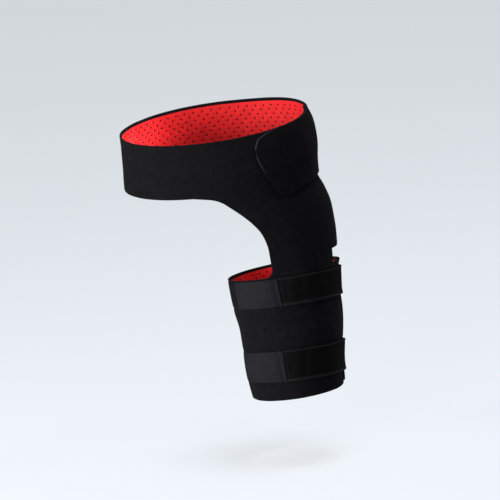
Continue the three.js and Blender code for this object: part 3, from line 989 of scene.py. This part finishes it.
def slanting_cells(across, down):
    """The faces of a square lattice turned by 45 degrees: points are numbered on a grid with half
    steps, and only the whole cells, with eight corners, are to be pierced."""
    wide = 2 * across + 1

    def at(column, row):
        return int(round(2 * row)) * wide + int(round(2 * column))

    ring = [(-1, 0), (-0.5, 0.5), (0, 1), (0.5, 0.5), (1, 0), (0.5, -0.5), (0, -1), (-0.5, -0.5)]
    faces = []
    for row in range(down + 1):
        for column in range(across + 1):
            if (row + column) % 2 == 0:
                continue
            inside = [(column + x, row + y) for x, y in ring]
            inside = [(x, y) for x, y in inside if 0 <= x <= across and 0 <= y <= down]
            if len(inside) < 8:
                inside.append((column, row))
                middle_x, middle_y = just_inside(column, across), just_inside(row, down)
                inside.sort(key=lambda p: -math.atan2(p[1] - middle_y, p[0] - middle_x))
            faces.append([at(x, y) for x, y in inside])
    return faces


def just_inside(number, last):
    """A place just inside the border, so that a half cell's corners can be put in turn."""
    return min(max(number, 0.25), last - 0.25)


def patch(turns, top, bottom, length, height, fit=None):
    """The angles, drops and faces of a lining's patch between two angles and two edges."""
    half = hole_pitch / math.sqrt(2)
    across = max(4, round(length / half))
    down = max(4, round(height / half))
    columns = np.linspace(turns[0], turns[1], 2 * across + 1)
    angle, share = np.meshgrid(columns, np.linspace(0, 1, 2 * down + 1))
    drop = mix(top(angle), bottom(angle), share)
    if fit is not None:
        angle, drop = fit(angle, drop)
    return angle.ravel(), drop.ravel(), slanting_cells(across, down)


def perforated(name, node, lift, *patches):
    """A lining made of patches, on the inner face of a panel."""
    angle = np.concatenate([turns for turns, drops, cells in patches])
    drop = np.concatenate([drops for turns, drops, cells in patches])
    starts = np.cumsum([0] + [len(turns) for turns, drops, cells in patches])
    faces = [
        [int(start) + corner for corner in cell]
        for start, (turns, drops, cells) in zip(starts, patches)
        for cell in cells
    ]
    front = off_body(angle, drop, lift(angle, drop) + lining_front)
    back = off_body(angle, drop, lift(angle, drop) + lining_back)
    made = closed_sheet(name, back, front, faces, laid_flat(angle, drop), crisp=True)
    pierced = [len(face.vertices) == 8 and face.index >= len(faces) for face in made.data.polygons]
    made.data.attributes.new("pierced", "BOOLEAN", "FACE").data.foreach_set("value", pierced)
    dress(made, holes, **{
        "Hole Width": hole_width, "Rolled Edge": rolled_edge, "Depth": hole_depth,
        "Knit": red_knit, "Foam": foam,
    })
    settle(made, node, "red_lining")
    return made


def lining_foot(angle):
    """The belt lining's lower edge: it meets the hip lining where the panels are joined."""
    joined = ease(angle, hip_front - 3, hip_front + 1)
    return belt_bottom(angle) - binding_width * (1 - joined)


nose_room = 4.5
start_room = 1.6
belt_lining = perforated(
    "waist_lining_knit", "waist_lining", lambda angle, drop: belt_lift(angle),
    patch(
        (flap_tip + nose_room, belt_start - start_room),
        lambda angle: np.minimum(belt_top(angle) + binding_width, belt_bottom(angle) - 2 * binding_width),
        lining_foot,
        belt_length, belt_height - binding_width,
    ),
)

# The hip lining has a second patch below, ahead of the slit. Each patch is fitted between the
# panel's edges, so its first angles only give its cells an order.
hip_pace = degrees_per_metre(-40, belt_height + hip_height / 2)
lining_seam = 0.0003
first_turns = (-90, 20)
upper_span = 100
lower_span = 75


def between_edges(back_edge):
    """Moves a patch's even points to between the hip panel's front edge and another edge."""

    def fit(angle, drop):
        share = (drop - belt_height) / hip_height
        across = (angle - angle[:, :1]) / (angle[:, -1:] - angle[:, :1])
        front = read(hip_front_rows, share) + binding_width * hip_pace
        back = back_edge(share)
        fitted = mix(front, back - binding_width * hip_pace, across)
        return fitted, drop - corner_rise(fitted, drop + binding_width, np.maximum(back, 0)) * (back > 0)

    return fit


hip_lining = perforated(
    "hip_lining_knit", "hip_lining", lambda angle, drop: np.zeros(angle.shape),
    patch(
        first_turns,
        lambda angle: np.full(angle.shape, belt_height),
        lambda angle: np.full(angle.shape, slit_drop - binding_width),
        upper_span / hip_pace, slit_drop - belt_height,
        between_edges(lambda share: mix(belt_start, hip_back_foot, share)),
    ),
    patch(
        first_turns,
        lambda angle: np.full(angle.shape, slit_drop - binding_width + lining_seam),
        lambda angle: np.full(angle.shape, thigh_drop - lining_seam),
        lower_span / hip_pace, slit_height + binding_width,
        between_edges(lambda share: np.full(share.shape, float(slit_end))),
    ),
)

corner_share = 0.4


def lining_top(angle):
    """The wrap lining's upper edge: below the wrap's rim, or at the seam under the hip panel."""
    free = 1 - ease(angle, hip_foot_front - 3, hip_foot_front) + ease(angle, slit_end, slit_end + 3)
    return thigh_drop + binding_width * free + wrap_cut(angle) * corner_share


wrap_lining = perforated(
    "thigh_lining_knit", "thigh_lining", wrap_lift,
    patch(
        (wrap_edge + binding_width * wrap_pace, wrap_start - binding_width * wrap_pace),
        lining_top,
        lambda angle: wrap_bottom(angle) - binding_width,
        wrap_length, thigh_height,
    ),
)

# The straps: black ribbed elastic, with a firm bead along each side. Each is sewn to the wrap near
# its free edge and ends in a slanted hem at the front.
strap_gap = 0.0006
strap_thickness = 0.002
tab_thickness = 0.0018
tab_corner = 0.006
tab_inset = 0.0005
hem_overlap = 0.012
hem_slant = 0.004
strap_root = 36
rib_pitch = 0.0017
rib_height = 0.00012
selvedge_rise = 0.0007
top_selvedge = 0.0026
foot_selvedge = 0.0056
hem_roll = 0.0011
hem_roll_width = 0.0056
hem_groove = 0.0068
tab_dip = 0.0013
tab_dip_reach = 0.012
tab_least = 0.0003
tab_middle = 20
pucker_place = (0.0055, 0.005)
pucker_reach = (0.0016, 0.0026)
tab_edge_radius = 0.0006
tab_groove_depth = 0.00025
tab_groove_place = 0.0026
tab_groove_width = 0.0006
hem_gap = 0.0003
hem_fold = 0.0007
strap_edge_radius = 0.0008
seam_depth = 0.0008
seam_width = 0.0009
sewn_box = (0.004, 0.03)
sewn_half = 0.44
wrap_step = (24, 2)
tab_slope = (6, 18)
hem_step = (0.0005, 0.0012)
slant_reach = 0.03
underside_share = 0.6
hem_seams = [(hem_groove, -0.0001), (hem_overlap - 0.0015, 0.0006)]
thread_rise = 0.0001


def swell(distance, width):
    """A rounded swell from 0 to a width, as a share of its height."""
    return np.sqrt(1 - np.clip(2 * distance / width - 1, -1, 1) ** 2)


def woven_finish(name, yarn_size, reach, tones, roughness, shine, bump, fluff=None):
    """The material of a cloth woven in rows of yarn, between two tones, with or without lint."""
    made, tree, shader, place = new_finish(name)
    flat_place = add_node(tree, "ShaderNodeUVMap", {"uv_map": "laid flat"}).outputs[0]
    rows = use_group(tree, yarn, Place=flat_place, Across=yarn_size[0], Along=yarn_size[1])
    colour = blend(tree, ramp(tree, rows["Shade"], *reach), *tones)
    if fluff:
        colour = with_lint(tree, place, colour, *fluff)
    set_shader(
        tree, shader,
        Base_Color=colour,
        Roughness=ramp(tree, rows["Shade"], *reach, *roughness),
        Specular_IOR_Level=shine,
        Normal=raised(tree, rows["Height"], *bump),
    )
    return made


elastic = woven_finish(
    "ribbed elastic", yarn_size=(0.0013, 0.00085), reach=(0.2, 0.8),
    tones=[(0.003, 0.0028, 0.0031, 1), (0.0064, 0.006, 0.0066, 1)],
    roughness=(0.85, 0.7), shine=0.05, bump=(0.0002, 0.6), fluff=[(0.07, 0.068, 0.07, 1), 0.35, 0.05],
)
# The straps' firm sides and the hems' rolled ridges: woven closer, and paler as painted highlight where these
# edges catch the light
selvedge_with_painted_highlight = woven_finish(
    "woven selvedge", yarn_size=(0.0009, 0.0006), reach=(0, 1),
    tones=[(0.0045, 0.0043, 0.005, 1), (0.0135, 0.013, 0.0148, 1)],
    roughness=(0.75, 0.75), shine=0.12, bump=(0.00015, 0.5),
)
# The grip tabs: smooth dark grey plastic hook tape on a firm backing, tucked under each hem
grip = woven_finish(
    "grey hook tape", yarn_size=(0.0012, 0.0012), reach=(0.2, 0.8),
    tones=[(0.0096, 0.009, 0.0114, 1), (0.0156, 0.0147, 0.0184, 1)],
    roughness=(0.8, 0.66), shine=0.06, bump=(0.0001, 0.35), fluff=[(0.09, 0.088, 0.09, 1), 0.3, 0.06],
)


def under_strap(angle):
    """What a strap lies on: the wrap's own surface, or its lapped end on the braced side."""
    edge = wrap_edge + 360
    return strap_gap + lap_lift * ease(angle, edge - wrap_step[0], edge - wrap_step[1])


def make_strap(name, node, tab_name, tab_node, down_share, width, hem_angle, tab_length, pucker):
    """One strap with its grip tab: its middle a share of the way down the wrap, its hem at an angle,
    its tab so long in front of the hem and puckered so deep."""
    middle = thigh_drop + down_share * thigh_height
    pace = degrees_per_metre(hem_angle - tab_middle, middle)
    hem_pace = degrees_per_metre(hem_angle, middle)

    # The tab, from its rounded front end to under the strap's hem
    tab_start = hem_angle - tab_length * pace
    tab_end = hem_angle + (hem_overlap + hem_slant) * pace
    length = (tab_end - tab_start) / pace
    half = width / 2 - tab_inset
    turns = mix(tab_start, tab_end, fine_steps(length, pace=0.0012))
    cut = round_off((turns - tab_start) / pace, tab_corner)
    angle, share = np.meshgrid(turns, fine_steps(width, pace=0.0012))
    drop = strap_line(down_share, angle) + (half - cut[None, :]) * (2 * share - 1)
    edges = grid_edges(angle, drop, 0, -1, np.s_[:, 0])
    distance = distance_to(edges, laid_flat(angle, drop))
    rounding = round_off(distance, tab_edge_radius)
    pressed = tab_groove_depth * bell(distance - tab_groove_place, tab_groove_width)
    to_hem = (hem_angle - angle) / hem_pace + hem_slant * (share - 0.5)
    pressed = pressed + tab_dip * (1 - ease(to_hem, 0.0, tab_dip_reach))
    along_pucker = (to_hem - pucker_place[0]) / pucker_reach[0]
    down_pucker = (share * width - pucker_place[1]) / pucker_reach[1]
    pressed = pressed + pucker * np.exp(-(along_pucker**2) - down_pucker**2)
    pressed = np.minimum(pressed, tab_thickness - tab_least)
    tab = grid_sheet(
        tab_name,
        off_body(angle, drop, under_strap(angle) + tab_thickness - rounding - pressed),
        off_body(angle, drop, under_strap(angle)),
        angle, drop,
    )
    settle(tab, tab_node, "grip_tab", grip)

    # The elastic, from its slanted hem to its sewn end
    length = (strap_root - hem_angle) / hem_pace
    shares = fine_steps(length, pace=0.003)
    rib_rows = np.linspace(0, 1, 4 * round(width / rib_pitch) + 1)
    side_rows = np.array([0.0002, 0.0005]) / width
    rib_rows = np.unique(np.concatenate([rib_rows, side_rows, 1 - side_rows]))
    share, across = np.meshgrid(shares, rib_rows)
    straight = mix(hem_angle, strap_root, share)
    from_end = share * length
    slant = hem_slant * hem_pace * (across - 0.5) * (1 - ease(from_end, 0.0, slant_reach))
    angle = straight + slant
    drop = strap_line(down_share, straight) + width * (across - 0.5)
    from_side = np.minimum(across, 1 - across) * width
    sides = swell(across * width, top_selvedge) + swell((1 - across) * width, foot_selvedge)
    sides = selvedge_rise * sides
    over_tab = (tab_thickness + hem_gap) * (1 - ease(angle, tab_end + tab_slope[0], tab_end + tab_slope[1]))
    folded = hem_fold * (1 - ease(from_end, hem_overlap - hem_step[0], hem_overlap + hem_step[1]))
    rolled = hem_roll * swell(from_end, hem_roll_width)
    ribs = rib_height * np.cos(2 * math.pi * across * round(width / rib_pitch)) * (sides == 0)
    rounding = round_off(np.minimum(from_side, from_end), strap_edge_radius)
    sewn = seam_depth * bell(from_end - hem_groove, seam_width)
    base = under_strap(angle) + over_tab
    strap = grid_sheet(
        name,
        off_body(angle, drop, base + strap_thickness + folded + rolled + sides + ribs - rounding - sewn),
        off_body(angle, drop, base + rounding * underside_share),
        angle, drop,
    )
    settle(strap, node, "elastic_strap", elastic, selvedge_with_painted_highlight)
    # The side bands and the hem's rolled ridge take the paler material: painted highlight along these edges
    row_middles = (rib_rows[:-1] + rib_rows[1:]) / 2 * width
    in_band = (row_middles < top_selvedge) | (row_middles > width - foot_selvedge)
    slots = np.zeros(len(strap.data.polygons), int)
    on_ridge = (shares[:-1] + shares[1:]) / 2 * length < hem_roll_width
    slots[: in_band.size * on_ridge.size] = (in_band[:, None] | on_ridge[None, :]).ravel()
    strap.data.polygons.foreach_set("material_index", slots)

    # The hem's two rows of stitches, and the box of stitches at the sewn end
    across = np.linspace(0.04, 0.96, 60)
    lines = []
    for from_end, rise in hem_seams:
        slanted = hem_angle + from_end * hem_pace + hem_slant * hem_pace * (across - 0.5)
        drops = strap_line(down_share, slanted) + width * (across - 0.5)
        raised_by = under_strap(slanted) + tab_thickness + hem_gap + strap_thickness + rise
        lines.append(off_body(slanted, drops, raised_by))
    near, far = (strap_root - reach * hem_pace for reach in sewn_box)
    low, high = -sewn_half, sewn_half
    corners = [(near, low), (near, high), (far, high), (far, low), (near, low), (far, high)]
    for one, other in zip(corners, corners[1:]):
        step = np.linspace(0, 1, 24)
        angles = mix(one[0], other[0], step)
        drops = strap_line(down_share, angles) + width * mix(one[1], other[1], step)
        lines.append(off_body(angles, drops, under_strap(angles) + strap_thickness + thread_rise))
    stitches = sew(
        name + "_stitches", lines, pitch=0.003, stitch=0.0023, thickness=0.00045
    )


make_strap("upper_strap_webbing", "upper_strap", "upper_grip_tab", "upper_strap_tab",
           *upper_strap_place, -98, 0.09, 0)
make_strap("lower_strap_webbing", "lower_strap", "lower_grip_tab", "lower_strap_tab",
           *lower_strap_place, -103.5, 0.099, 0.0016)
